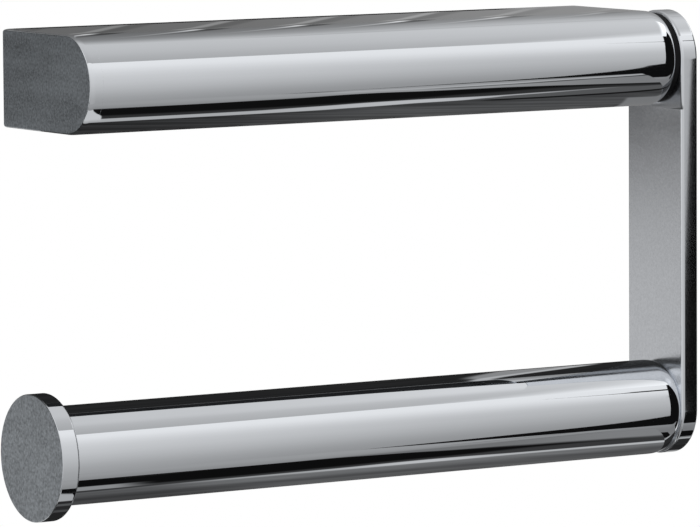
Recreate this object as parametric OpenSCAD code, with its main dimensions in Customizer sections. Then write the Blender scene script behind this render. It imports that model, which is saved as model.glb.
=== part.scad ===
// Wall-mounted toilet roll holder with a swinging arm.
// X runs along the bars, +Y points into the wall and +Z is up.
// The origin is on the wall plane, at the middle of the wall bar.

/* [Wall bar] */
// Length of the wall bar, end cap included
bar_length = 141; // [125:1:180]
// Height of the wall bar
bar_height = 20; // [19:0.5:26]
// Depth of the wall bar, from the wall to the front of its round nose
bar_depth = 36; // [34:0.5:50]
// Radius of the wall bar's two corners at the wall
bar_corner = 0.8; // [0.3:0.1:1]
// Wall thickness of the bar's shell
shell_wall = 2; // [1.2:0.1:2.2]
// Chamfer round the shell's pivot end
shell_chamfer = 0.4; // [0.2:0.1:0.8]
// Thickness of the end cap's plate
cap_thickness = 3; // [2:0.5:6]
// Chamfer round the end cap's outer face
cap_chamfer = 0.7; // [0.2:0.1:1]
// Length of the end cap's spigot inside the shell
cap_spigot = 8; // [4:0.5:12]
// Wall thickness of the end cap's spigot
cap_spigot_wall = 1.6; // [1:0.1:2.5]

/* [Wall rail] */
// Length of the steel rail that is screwed to the wall
rail_length = 90; // [84:1:96]
// Sheet thickness of the rail
rail_sheet = 2.5; // [2.3:0.1:3]
// Depth of the rail's two flanges, from the wall
rail_depth = 12; // [9:0.5:15]
// Distance between the two wall screw holes
wall_hole_spacing = 66; // [54:1:70]
// Diameter of the wall screw holes
wall_hole_d = 5.2; // [4.8:0.1:6]
// Diameter of the countersink for the wall screws' heads
wall_sink_d = 8.8; // [8:0.1:9.2]

/* [Pivot block] */
// Length of the block that closes the shell's pivot end
block_length = 18; // [14:0.5:22]
// Gap between the block's back face and the wall
block_setback = 1.5; // [0.5:0.1:3]

/* [Side strip] */
// Width of the side strip
strip_width = 20; // [18:0.5:26]
// Thickness of the side strip
strip_thickness = 4; // [3.6:0.1:6]
// Chamfer round both faces of the side strip
strip_chamfer = 0.3; // [0.1:0.1:0.6]
// Distance from the pivot axis to the roll bar's axis
arm_length = 74; // [60:1:85]

/* [Roll bar] */
// Outside diameter of the roll bar's tube
tube_d = 20; // [17:0.5:24]
// Wall thickness of the tube
tube_wall = 1.5; // [1:0.1:2.5]
// Reach of the roll bar, from the strip's inner face to the end disc's outer face
bar_reach = 151; // [130:1:185]
// Diameter of the end disc
disc_d = 25.6; // [24:0.2:30]
// Thickness of the end disc
disc_thickness = 4; // [3:0.5:8]
// Chamfer on both edges of the end disc
disc_chamfer = 0.4; // [0.2:0.1:1]
// Diameter of the stud that holds the end disc
stud_d = 6; // [5:0.5:8]
// Length of the stud that holds the end disc
stud_length = 9; // [6:0.5:11]
// Length of the threaded plug behind the end disc
disc_plug_length = 12; // [10:0.5:20]
// Length of the threaded plug behind the side strip
strip_plug_length = 18; // [14:0.5:26]

/* [Pivot] */
// Angle that the arm swings out from the wall
swing_out = 90; // [30:5:110]
// Angle that the arm swings back towards the wall
swing_back = 8; // [2:1:9]
// Diameter of the pivot axle
axle_d = 6; // [5.5:0.1:6.2]
// Wall thickness of the two bushes
bush_wall = 1; // [0.7:0.1:1.2]
// Length of each bush inside the block
bush_length = 6; // [4:0.5:6.5]
// Width of the inner bush's flange beyond its barrel
bush_flange = 1.5; // [1:0.1:2]
// Thickness of the inner bush's flange
bush_flange_thickness = 1; // [0.8:0.1:1.5]
// Thickness of the spacer washer between the shell and the strip
spacer_thickness = 1.2; // [0.8:0.1:3]
// How far the spacer washer's rim stays inside the bar's outline
spacer_inset = 0.6; // [0.3:0.1:1]
// Diameter of the stop pin
pin_d = 2; // [1.5:0.1:2.2]
// How far the stop pin reaches into the block
pin_reach = 2.4; // [1.5:0.1:4]
// Thickness of the washer under the lock nut
washer_thickness = 1; // [0.6:0.1:1.6]
// Outside diameter of the washer under the lock nut
washer_d = 10.4; // [9.6:0.2:11]
// Sheet thickness of the wave washer
wave_sheet = 0.3; // [0.2:0.1:0.4]
// Height of the wave washer over its crests
wave_height = 1; // [0.8:0.1:1.4]

/* [Fasteners] */
// Diameter of the flat heads sunk in the strip's outer face
head_d = 12; // [10:0.2:12.4]
// Thickness of the flat heads sunk in the strip's outer face
head_thickness = 1.4; // [1:0.1:1.5]
// Thickness of the covers over those heads
cover_thickness = 0.6; // [0.4:0.1:0.8]
// Width across the two flats that key the axle in the strip
axle_flats = 6.6; // [6.4:0.1:7]
// Diameter of the axle's keyed neck
axle_neck_d = 8; // [7.4:0.2:8.4]
// Diameter of the screw that holds the tube to the strip
bar_screw_d = 6; // [5.5:0.5:6.5]
// Length of the screw that holds the tube to the strip, under its head
bar_screw_length = 14; // [10:0.5:15]
// Width across the bar screw's hexagon socket
bar_screw_socket = 4; // [3:0.5:4.5]
// Diameter of the thread on the axle's end, and of its nut
nut_thread_d = 5; // [4:0.1:5.2]
// Width across the lock nut's flats
nut_flats = 8; // [7.8:0.1:8.8]
// Height of the lock nut
nut_height = 5; // [4:0.5:7]
// Diameter of the two screws that lock the shell on the rail
lock_screw_d = 4; // [3:0.5:4.5]
// Width across the lock screws' hexagon sockets
lock_socket = 2; // [1.5:0.1:2.2]
// Distance between the two lock screws
lock_spacing = 40; // [30:1:46]
// Diameter of the two screws that hold the pivot block
block_screw_d = 3; // [2.5:0.5:3.5]
// Diameter of the block screws' countersunk heads
block_head_d = 5.4; // [5:0.1:6]
// Width across the block screws' hexagon sockets
block_socket = 1.6; // [1.3:0.1:2]
// Distance between the two block screws
block_screw_spacing = 10; // [8:0.5:11]
// Distance from the wall to the nearer block screw
block_screw_setback = 7; // [5:0.5:8]
// How far the block screws reach into the block
block_screw_bite = 6; // [4:0.5:7]

/* [Hidden] */
$fn = 64;

// How far cuts run past the faces that they open
overrun = 1;
// Gap all round a piece that is seated and doesn't move
fit_gap = 0.05;
// Radial running gap of the axle in its bushes
run_gap = 0.04;
// Gap between faces that slide on each other
face_gap = 0.05;
// Gap round the stop pin in its slot
slot_gap = 0.2;
// Angle left between the stop pin and each end of its slot
stop_slack = 1;
// Metal left between the stop pin's hole and the sunk head
pin_floor = 0.4;
// Depth of the sockets in the screws, as a share of their width
socket_share = 0.9;
// Depth and end width of the lock screws' tips, as shares of their diameter
tip_depth_share = 0.3;
tip_width_share = 0.4;
// Depth to which the lock screws are sunk in the shell
lock_sink = 0.2;
// Length of thread past the lock nut
thread_out = 1;
// Depth of the lock nut's nylon ring, as a share of the nut's height
nut_ring_share = 0.3;
// Radial thickness of the lock nut's nylon ring
nut_ring_wall = 1;
// Steps and crests round the wave washer
wave_steps = 48;
wave_crests = 3;
// Radial gap between the wave washer and the axle
wave_gap = 0.2;

// The pivot axis and the two ends of the wall bar
axis_y = bar_height / 2 - bar_depth;
bar_left = -bar_length / 2;
bar_right = bar_length / 2;
shell_left = bar_left + cap_thickness;
shell_bottom = -bar_height / 2;
block_left = bar_right - block_length;

// The rail, which fits between the shell's two flat walls
rail_height = bar_height - 2 * (shell_wall + fit_gap);
rail_bottom = -rail_height / 2;
lock_y = -rail_depth / 2;

// The side strip's faces and the seats sunk in it
strip_in = bar_right + face_gap + spacer_thickness;
strip_out = strip_in + strip_thickness;
seat_depth = head_thickness + cover_thickness;
head_in = strip_out - seat_depth;
cover_in = strip_out - cover_thickness;
pin_hole_depth = strip_thickness - seat_depth - pin_floor;

// The roll bar
disc_out = strip_in - bar_reach;
disc_in = disc_out + disc_thickness;
tube_bore = tube_d - 2 * tube_wall;
tube_length = strip_in - disc_in;

// The small parts on the axle, from the spacer washer inwards
spacer_d = min(bar_height, strip_width) - 2 * spacer_inset;
bush_bore = axle_d + 2 * run_gap;
bush_d = bush_bore + 2 * bush_wall;
// The stop pin's distance from the axis, midway between the bush and the shell
pin_radius = (bush_d / 2 + bar_height / 2 - shell_wall) / 2;
flange_left = block_left - bush_flange_thickness;
wave_right = flange_left - face_gap;
wave_left = wave_right - wave_height;
shoulder = wave_left - face_gap;
nut_right = shoulder - washer_thickness;
nut_left = nut_right - nut_height;
axle_end = nut_left - thread_out;
nut_ring_d = nut_thread_d + 2 * nut_ring_wall;
nut_ring_depth = nut_height * nut_ring_share;

// A round rod along +X, from x
module rod(d, length, x) {
    translate([x, 0, 0]) rotate([0, 90, 0]) cylinder(d = d, h = length);
}

// A round rod along +X, from x, chamfered at its left and right ends
module turned_rod(d, length, x, left, right) {
    radius = d / 2;
    translate([x, 0, 0]) rotate([0, 90, 0]) rotate_extrude()
        polygon([
            [0, 0],
            [radius - left, 0],
            [radius, left],
            [radius, length - right],
            [radius - right, length],
            [0, length]
        ]);
}

// A flat ring on the X axis, from x
module ring(d, bore, thickness, x) {
    difference() {
        rod(d, thickness, x);
        rod(bore, thickness + 2 * overrun, x - overrun);
    }
}

// A hexagonal prism along +X, from x
module hex_rod(flats, length, x) {
    translate([x, 0, 0]) rotate([0, 90, 0])
        cylinder(d = flats / cos(30), h = length, $fn = 6);
}

// A hexagon socket cut upwards from z
module socket(flats, z) {
    translate([0, 0, z - overrun])
        cylinder(d = flats / cos(30), h = flats * socket_share + overrun, $fn = 6);
}

// Carries what is drawn on the X axis to the pivot axis
module at_pivot() {
    translate([0, axis_y, 0]) children();
}

// Carries what is drawn on the X axis to the roll bar's axis
module at_roll_bar() {
    translate([0, axis_y, -arm_length]) children();
}

// Gives a drawing in Y and Z a thickness along +X, from x
module across(thickness, x) {
    translate([x, 0, 0]) rotate([90, 0, 90]) linear_extrude(thickness) children();
}

// The wall bar's section, round in front and flat behind, inset all round
module bar_outline(inset, back) {
    radius = bar_height / 2 - inset;
    translate([axis_y, 0]) circle(r = radius);
    translate([axis_y, -radius]) square([back - axis_y, 2 * radius]);
}

// The wall bar's whole outer form, with both ends chamfered
module bar_form() {
    radius = bar_height / 2;
    difference() {
        union() {
            at_pivot()
                turned_rod(bar_height, bar_length, bar_left, cap_chamfer, shell_chamfer);
            rotate([90, 0, 0]) linear_extrude(-axis_y) polygon([
                [bar_left, cap_chamfer - radius],
                [bar_left + cap_chamfer, -radius],
                [bar_right - shell_chamfer, -radius],
                [bar_right, shell_chamfer - radius],
                [bar_right, radius - shell_chamfer],
                [bar_right - shell_chamfer, radius],
                [bar_left + cap_chamfer, radius],
                [bar_left, radius - cap_chamfer]
            ]);
        }
        across(bar_length + 2 * overrun, bar_left - overrun)
            for (side = [0, 1]) mirror([0, side]) corner_waste();
    }
}

// What is cut off one of the bar's two corners at the wall
module corner_waste() {
    translate([-bar_corner, bar_height / 2 - bar_corner]) difference() {
        square(bar_corner + overrun);
        circle(r = bar_corner);
    }
}

// What lies between two places on X, over the whole wall bar
module between(left, right) {
    intersection() {
        children();
        translate([left, -bar_depth - overrun, -bar_height])
            cube([right - left, bar_depth + 2 * overrun, 2 * bar_height]);
    }
}

// The steel channel on the wall that the shell slides over
module wall_rail() {
    color("lightslategray") difference() {
        translate([-rail_length / 2, -rail_depth, rail_bottom])
            cube([rail_length, rail_depth, rail_height]);
        translate([
            -rail_length / 2 - overrun, -rail_depth - overrun, rail_bottom + rail_sheet
        ])
            cube([
                rail_length + 2 * overrun, rail_depth + overrun - rail_sheet,
                rail_height - 2 * rail_sheet
            ]);
        for (side = [-1, 1]) {
            translate([side * wall_hole_spacing / 2, 0, 0]) wall_screw_hole();
            translate([side * lock_spacing / 2, lock_y, rail_bottom - fit_gap])
                lock_tip(fit_gap);
        }
    }
}

// One countersunk hole through the rail, along Y
module wall_screw_hole() {
    sink_depth = (wall_sink_d - wall_hole_d) / 2;
    translate([0, overrun, 0]) rotate([90, 0, 0])
        cylinder(d = wall_hole_d, h = rail_sheet + 2 * overrun);
    translate([0, sink_depth - rail_sheet, 0]) rotate([90, 0, 0])
        cylinder(d1 = wall_hole_d, d2 = wall_sink_d, h = sink_depth);
}

// The blunt cone on a lock screw's tip, pointing up from z = 0
module lock_tip(gap) {
    cylinder(
        d1 = lock_screw_d + 2 * gap, d2 = lock_screw_d * tip_width_share + 2 * gap,
        h = lock_screw_d * tip_depth_share + gap
    );
}

// The polished shell, open towards the wall
module bar_shell() {
    color("silver") difference() {
        between(shell_left, bar_right + overrun) bar_form();
        across(bar_length + 2 * overrun, bar_left - overrun)
            bar_outline(shell_wall, overrun);
        for (side = [-1, 1])
            translate([side * lock_spacing / 2, lock_y, shell_bottom - overrun])
                cylinder(d = lock_screw_d, h = shell_wall + 2 * overrun);
        at_block_screws() block_screw_form(fit_gap, overrun);
    }
}

// The flat cap on the shell's free end, with a hollow spigot
module end_cap() {
    spigot_inset = shell_wall + fit_gap;
    color("gray") {
        between(bar_left - overrun, shell_left) bar_form();
        difference() {
            across(cap_spigot, shell_left) bar_outline(spigot_inset, -block_setback);
            across(cap_spigot + overrun, shell_left) bar_outline(
                spigot_inset + cap_spigot_wall, -block_setback - cap_spigot_wall
            );
        }
    }
}

// The block in the shell's pivot end, bored for the bushes and slotted for the stop
module pivot_block() {
    color("darkgray") difference() {
        across(block_length, block_left)
            bar_outline(shell_wall + fit_gap, -block_setback);
        at_pivot() {
            rod(bush_d, block_length + 2 * overrun, block_left - overrun);
            stop_slot();
        }
        at_block_screws() block_screw_form(fit_gap, overrun);
    }
}

// The curved slot in the block's outer face that limits the arm's swing
module stop_slot() {
    width = pin_d + 2 * slot_gap;
    depth = pin_reach + slot_gap;
    start = -swing_back - stop_slack;
    sweep = swing_out + swing_back + 2 * stop_slack;
    translate([bar_right - depth, 0, 0]) mirror([1, 0, -1]) {
        rotate([0, 0, start]) rotate_extrude(angle = sweep)
            translate([pin_radius - width / 2, 0]) square([width, depth + overrun]);
        for (turn = [start, start + sweep])
            rotate([0, 0, turn]) translate([pin_radius, 0, 0])
                cylinder(d = pin_d, h = depth + overrun);
    }
}

// Carries a drawing to each of the two block screws, in the shell's underside
module at_block_screws() {
    for (step = [0, 1])
        translate([
            bar_right - block_length / 2,
            -block_screw_setback - step * block_screw_spacing, shell_bottom
        ])
            children();
}

// A countersunk block screw upwards from z = 0, grown by a gap and lengthened below
module block_screw_form(gap, below) {
    head_depth = (block_head_d - block_screw_d) / 2;
    translate([0, 0, -below])
        cylinder(
            d = block_screw_d + 2 * gap, h = below + shell_wall + block_screw_bite + gap
        );
    cylinder(d1 = block_head_d + 2 * gap, d2 = block_screw_d + 2 * gap, h = head_depth);
}

// The two countersunk screws that hold the pivot block in the shell
module block_screws() {
    color("dimgray") at_block_screws() difference() {
        block_screw_form(0, 0);
        socket(block_socket, 0);
    }
}

// The plain bush in the block's outer end
module outer_bush() {
    color("ivory") at_pivot()
        ring(bush_d, bush_bore, bush_length, bar_right - bush_length);
}

// The flanged bush in the block's inner end
module inner_bush() {
    color("ivory") at_pivot() difference() {
        union() {
            rod(bush_d, bush_length, block_left);
            rod(bush_d + 2 * bush_flange, bush_flange_thickness, flange_left);
        }
        rod(bush_bore, bush_length + bush_flange_thickness + 2 * overrun,
            flange_left - overrun);
    }
}

// The two set screws under the shell that lock it on the rail
module lock_screws() {
    low = shell_bottom + lock_sink;
    high = rail_bottom - fit_gap;
    color("dimgray") for (side = [-1, 1])
        translate([side * lock_spacing / 2, lock_y, 0]) difference() {
            union() {
                translate([0, 0, low])
                    cylinder(d = lock_screw_d - 2 * fit_gap, h = high - low);
                translate([0, 0, high]) lock_tip(-fit_gap);
            }
            socket(lock_socket, low);
        }
}

// The strip's form, flat with round ends and chamfered round both faces
module strip_form() {
    half = strip_width / 2;
    inner = strip_chamfer;
    outer = strip_thickness - strip_chamfer;
    at_pivot() strip_end();
    at_roll_bar() strip_end();
    translate([strip_in, axis_y, -arm_length]) linear_extrude(arm_length) polygon([
        [0, strip_chamfer - half],
        [inner, -half],
        [outer, -half],
        [strip_thickness, strip_chamfer - half],
        [strip_thickness, half - strip_chamfer],
        [outer, half],
        [inner, half],
        [0, half - strip_chamfer]
    ]);
}

// One round end of the strip
module strip_end() {
    turned_rod(strip_width, strip_thickness, strip_in, strip_chamfer, strip_chamfer);
}

// The flat strip that joins the pivot to the roll bar
module side_strip() {
    hole_left = strip_in - overrun;
    hole_length = head_in - strip_in + 2 * overrun;
    color("silver") difference() {
        strip_form();
        at_pivot() {
            head_seat();
            axle_neck(hole_length, hole_left, fit_gap);
            stop_pin_form(fit_gap);
        }
        at_roll_bar() {
            head_seat();
            rod(bar_screw_d + 2 * fit_gap, hole_length, hole_left);
        }
    }
}

// The sunk seat for a flat head and its cover
module head_seat() {
    rod(head_d + 2 * fit_gap, seat_depth + overrun, head_in);
}

// The axle's neck with two flats, along +X from x
module axle_neck(length, x, gap) {
    flats = axle_flats + 2 * gap;
    intersection() {
        rod(axle_neck_d + 2 * gap, length, x);
        translate([x, -axle_neck_d, -flats / 2])
            cube([length, 2 * axle_neck_d, flats]);
    }
}

// The stop pin above the axis, grown by a gap
module stop_pin_form(gap) {
    left = bar_right - pin_reach;
    translate([0, 0, pin_radius])
        rod(pin_d + 2 * gap, strip_in + pin_hole_depth + gap - left, left);
}

// The headed axle that turns with the strip
module pivot_axle() {
    color("gainsboro") at_pivot() {
        rod(head_d, head_thickness, head_in);
        axle_neck(head_in - strip_in, strip_in, 0);
        rod(axle_d, strip_in - shoulder, shoulder);
        rod(nut_thread_d, shoulder - axle_end, axle_end);
    }
}

// The flush cover over the axle's head
module axle_cover() {
    color("silver") at_pivot() rod(head_d, cover_thickness, cover_in);
}

// The pin in the strip that runs in the block's curved slot
module stop_pin() {
    color("gainsboro") at_pivot() stop_pin_form(0);
}

// The dark washer that shows between the shell's end and the strip
module spacer_washer() {
    color("#202224") at_pivot() difference() {
        ring(spacer_d, axle_d + 2 * fit_gap, spacer_thickness, bar_right + face_gap);
        stop_pin_form(fit_gap);
    }
}

// Offset of the wave washer's middle along X at an angle
function wave_x(angle) = (wave_height - wave_sheet) / 2 * cos(wave_crests * angle);

// The four corners of the wave washer's section at an angle
function wave_corners(angle, bore_r, rim_r) = [
    for (corner = [[bore_r, -1], [rim_r, -1], [rim_r, 1], [bore_r, 1]])
        [
            wave_x(angle) + corner[1] * wave_sheet / 2,
            corner[0] * cos(angle),
            corner[0] * sin(angle)
        ]
];

// The spring washer that keeps the arm free of rattle
module wave_washer() {
    points = [
        for (step = [0 : wave_steps - 1]) each wave_corners(
            step * 360 / wave_steps, axle_d / 2 + wave_gap, washer_d / 2
        )
    ];
    faces = [
        for (step = [0 : wave_steps - 1], side = [0 : 3])
            let (here = 4 * step, there = 4 * ((step + 1) % wave_steps), next = (side + 1) % 4)
                each [
                    [here + side, there + side, there + next],
                    [here + side, there + next, here + next]
                ]
    ];
    color("gainsboro") at_pivot() translate([(wave_left + wave_right) / 2, 0, 0])
        polyhedron(points, faces);
}

// The flat washer that sits on the axle's shoulder
module thrust_washer() {
    color("gainsboro") at_pivot()
        ring(washer_d, nut_thread_d + 2 * fit_gap, washer_thickness, nut_right);
}

// The self-locking nut, recessed for its nylon ring
module lock_nut() {
    color("lightgray") at_pivot() difference() {
        hex_rod(nut_flats, nut_height, nut_left);
        rod(nut_thread_d, nut_height + 2 * overrun, nut_left - overrun);
        rod(nut_ring_d, nut_ring_depth + overrun, nut_left - overrun);
    }
}

// The nylon ring that grips the axle's thread
module nut_ring() {
    color("ivory") at_pivot() ring(nut_ring_d, nut_thread_d, nut_ring_depth, nut_left);
}

// The tube that carries the toilet roll
module roll_bar() {
    color("silver") at_roll_bar() ring(tube_d, tube_bore, tube_length, disc_in);
}

// The threaded plug in the tube behind the strip
module strip_plug() {
    color("goldenrod") at_roll_bar()
        ring(tube_bore, bar_screw_d, strip_plug_length, strip_in - strip_plug_length);
}

// The screw that holds the tube to the strip
module bar_screw() {
    socket_left = cover_in - bar_screw_socket * socket_share;
    color("dimgray") at_roll_bar() difference() {
        union() {
            rod(head_d, head_thickness, head_in);
            rod(bar_screw_d, bar_screw_length, head_in - bar_screw_length);
        }
        hex_rod(bar_screw_socket, cover_in + overrun - socket_left, socket_left);
    }
}

// The flush cover over the bar screw's head
module screw_cover() {
    color("silver") at_roll_bar() rod(head_d, cover_thickness, cover_in);
}

// The threaded plug in the tube behind the end disc
module disc_plug() {
    color("goldenrod") at_roll_bar() ring(tube_bore, stud_d, disc_plug_length, disc_in);
}

// The disc that keeps the roll on the bar, with its threaded stud
module end_disc() {
    color("gray") at_roll_bar() {
        turned_rod(disc_d, disc_thickness, disc_out, disc_chamfer, disc_chamfer);
        rod(stud_d, stud_length, disc_in);
    }
}

wall_rail();
bar_shell();
end_cap();
pivot_block();
outer_bush();
inner_bush();
lock_screws();
block_screws();
side_strip();
pivot_axle();
axle_cover();
stop_pin();
spacer_washer();
wave_washer();
thrust_washer();
lock_nut();
nut_ring();
roll_bar();
strip_plug();
bar_screw();
screw_cover();
disc_plug();
end_disc();
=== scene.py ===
import math
import bmesh
import bpy
import numpy as np
from mathutils import Matrix, Vector


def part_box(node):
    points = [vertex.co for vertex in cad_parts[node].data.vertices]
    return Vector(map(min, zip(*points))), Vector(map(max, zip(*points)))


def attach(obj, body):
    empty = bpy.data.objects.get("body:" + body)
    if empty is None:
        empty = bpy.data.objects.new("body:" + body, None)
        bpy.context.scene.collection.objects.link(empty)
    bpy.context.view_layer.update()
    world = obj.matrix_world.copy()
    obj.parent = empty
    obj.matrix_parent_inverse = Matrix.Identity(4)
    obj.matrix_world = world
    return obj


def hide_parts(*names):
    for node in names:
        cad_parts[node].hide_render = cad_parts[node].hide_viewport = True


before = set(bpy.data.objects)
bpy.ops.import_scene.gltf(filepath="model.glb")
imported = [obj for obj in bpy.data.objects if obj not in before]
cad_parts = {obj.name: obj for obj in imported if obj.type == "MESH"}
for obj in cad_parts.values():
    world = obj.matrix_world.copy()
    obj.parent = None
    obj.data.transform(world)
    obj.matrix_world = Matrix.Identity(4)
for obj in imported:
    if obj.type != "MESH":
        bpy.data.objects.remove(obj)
print("frame loaded")
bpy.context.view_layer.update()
mm = 0.001


# Measures that the CAD nodes give, in metres
def span(node, axis):
    low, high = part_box(node)
    return low[axis], high[axis]


def middle(node, axis):
    return sum(span(node, axis)) / 2


def halfHeight(node):
    low, high = span(node, 2)
    return (high - low) / 2


shellLeft, shellRight = span("bar_shell", 0)
capLeft, capRight = span("end_cap", 0)[0], shellLeft
spigotRight = span("end_cap", 0)[1]
wallPlane = span("bar_shell", 1)[1]
barLow = span("bar_shell", 2)[0]
barRadius = halfHeight("bar_shell")
stripIn, stripOut = span("side_strip", 0)
stripFront, stripRear = span("side_strip", 1)
stripLow, stripHigh = span("side_strip", 2)
stripRadius = (stripRear - stripFront) / 2
axisY = (stripFront + stripRear) / 2
pivotZ = stripHigh - stripRadius
rollZ = stripLow + stripRadius
tubeLeft, tubeRight = span("roll_bar", 0)
tubeRadius = halfHeight("roll_bar")
discOut, studEnd = span("end_disc", 0)
discRadius = halfHeight("end_disc")
plugRadius = halfHeight("disc_plug")
spacerLeft, spacerRight = span("spacer_washer", 0)
spacerRadius = halfHeight("spacer_washer")
coverIn, coverOut = span("axle_cover", 0)
coverRadius = halfHeight("axle_cover")

# Camera: where it looks, from where, and its lens in pixels of the 700 x 527 image
cameraSet = {
    "imageWidth": 700,
    "focalPixels": 5967,
    "sensor": 36,
    "azimuth": -31.979,
    "elevation": 5.545,
    "roll": -0.381,
    "target": (-4.292 * mm, -26.0 * mm, -39.34 * mm),
    "distance": 1222 * mm,
}


# The camera stands at the target plus the distance times the direction back to it.
# Its own axes are right, up and back, and right and up are turned by the roll.
def makeCamera(settings):
    azimuth, elevation, roll = (
        math.radians(settings[key]) for key in ("azimuth", "elevation", "roll")
    )
    back = Vector((
        math.sin(azimuth) * math.cos(elevation),
        -math.cos(azimuth) * math.cos(elevation),
        math.sin(elevation),
    ))
    right = Vector((math.cos(azimuth), math.sin(azimuth), 0))
    up = back.cross(right)
    across = right * math.cos(roll) + up * math.sin(roll)
    upward = up * math.cos(roll) - right * math.sin(roll)
    data = bpy.data.cameras.new("photoCamera")
    data.sensor_width = settings["sensor"]
    data.lens = settings["focalPixels"] * settings["sensor"] / settings["imageWidth"]
    data.clip_start = 0.05
    data.clip_end = 50
    camera = bpy.data.objects.new("photoCamera", data)
    bpy.context.scene.collection.objects.link(camera)
    turned = Matrix((across, upward, back)).transposed().to_4x4()
    place = Vector(settings["target"]) + back * settings["distance"]
    camera.matrix_world = Matrix.Translation(place) @ turned
    bpy.context.scene.camera = camera
    return place


eye = makeCamera(cameraSet)
print("camera placed")


# Shader maths: a wrapped socket on which the signs of arithmetic add Math nodes, also
# where a plain number comes first
class Signal:
    def __init__(self, shader, socket):
        self.shader = shader
        self.socket = socket

    def __add__(self, other):
        return self.shader.maths("ADD", self, other)

    def __radd__(self, other):
        return self.shader.maths("ADD", other, self)

    def __sub__(self, other):
        return self.shader.maths("SUBTRACT", self, other)

    def __rsub__(self, other):
        return self.shader.maths("SUBTRACT", other, self)

    def __mul__(self, other):
        return self.shader.maths("MULTIPLY", self, other)

    def __rmul__(self, other):
        return self.shader.maths("MULTIPLY", other, self)

    def __truediv__(self, other):
        return self.shader.maths("DIVIDE", self, other)

    def __rtruediv__(self, other):
        return self.shader.maths("DIVIDE", other, self)

    def __neg__(self):
        return self.shader.maths("MULTIPLY", self, -1.0)

    def __pow__(self, other):
        return self.shader.maths("POWER", self, other)

    def __rpow__(self, other):
        return self.shader.maths("POWER", other, self)

    def __abs__(self):
        return self.shader.maths("ABSOLUTE", self)

    def cosine(self):
        return self.shader.maths("COSINE", self)

    def arctangent(self):
        return self.shader.maths("ARCTANGENT", self)

    def larger(self, other):
        return self.shader.maths("MAXIMUM", self, other)

    # Rises from 0 to 1 as the value goes from one place to another
    def rise(self, start, end):
        return self.shader.add(
            "ShaderNodeMapRange", {"interpolation_type": "SMOOTHSTEP"},
            {"Value": self, "From Min": start, "From Max": end},
        )

    # This value where the mask is 0, another where it is 1
    def painted(self, mask, value):
        return self + mask * (value - self)

    # 1 between two places, with soft edges of a given width
    def window(self, start, end, soft):
        return self.rise(start - soft / 2, start + soft / 2) * (
            1 - self.rise(end - soft / 2, end + soft / 2)
        )


# The nodes of one material or world
class Shader:
    def __init__(self, tree):
        self.tree = tree
        tree.nodes.clear()

    # Any node: its type, its settings, and the values or links of its sockets. The settings
    # may hold the stops of a colour ramp, each a place and a level.
    def add(self, kind, settings=None, inputs=None, output=0):
        node = self.tree.nodes.new(kind)
        for name, value in (settings or {}).items():
            if name == "stops":
                ramp = node.color_ramp
                ramp.interpolation = "CARDINAL"
                while len(ramp.elements) < len(value):
                    ramp.elements.new(0.5)
                for element, (place, level) in zip(ramp.elements, value):
                    element.position = place
                    element.color = (level, level, level, 1)
            else:
                setattr(node, name, value)
        for name, value in (inputs or {}).items():
            if isinstance(value, Signal):
                self.tree.links.new(value.socket, node.inputs[name])
            else:
                node.inputs[name].default_value = value
        return Signal(self, node.outputs[output]) if node.outputs else None

    def maths(self, operation, *values, clamp=False):
        settings = {"operation": operation, "use_clamp": clamp}
        return self.add("ShaderNodeMath", settings, dict(enumerate(values)))

    # Object coordinates, as a vector and as three numbers
    def place(self):
        return self.add("ShaderNodeTexCoord", output="Object")

    def axes(self):
        point = self.place()
        return [
            self.add("ShaderNodeSeparateXYZ", {}, {"Vector": point}, name) for name in "XYZ"
        ]

    # Coordinates multiplied by one number for each axis
    def stretched(self, scales):
        return self.add(
            "ShaderNodeVectorMath", {"operation": "MULTIPLY"}, {0: self.place(), 1: scales}
        )

    def vector(self, x, y, z):
        return self.add("ShaderNodeCombineXYZ", {}, {"X": x, "Y": y, "Z": z})

    # Noise over stretched coordinates, or over a vector of its own
    def noise(self, over, detail=3.0, roughness=0.5):
        return self.add(
            "ShaderNodeTexNoise", {},
            {
                "Vector": over if isinstance(over, Signal) else self.stretched(over),
                "Scale": 1.0, "Detail": detail, "Roughness": roughness,
            },
            "Fac",
        )

    # A smooth curve through points (place, level) that a value runs along
    def along(self, value, points):
        places, levels = zip(*points)
        start, width = places[0], places[-1] - places[0]
        low, height = min(levels), max(levels) - min(levels)
        stops = [((place - start) / width, (level - low) / height) for place, level in points]
        share = (value - start) / width
        return low + height * self.add("ShaderNodeValToRGB", {"stops": stops}, {"Fac": share})

    # Several such curves by their names
    def curves(self, value, table):
        return {name: self.along(value, points) for name, points in table.items()}

    def blend(self, factor, first, second):
        return self.add(
            "ShaderNodeMix", {"data_type": "RGBA"}, {"Factor": factor, 6: first, 7: second}, 2
        )

    def output(self, surface, kind="ShaderNodeOutputMaterial"):
        self.add(kind, {}, {"Surface": surface})


def newMaterial(name):
    material = bpy.data.materials.new(name)
    material.use_nodes = True
    return material, Shader(material.node_tree)


def shade(colour, factor):
    return tuple(channel * factor for channel in colour) + (1.0,)


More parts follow.
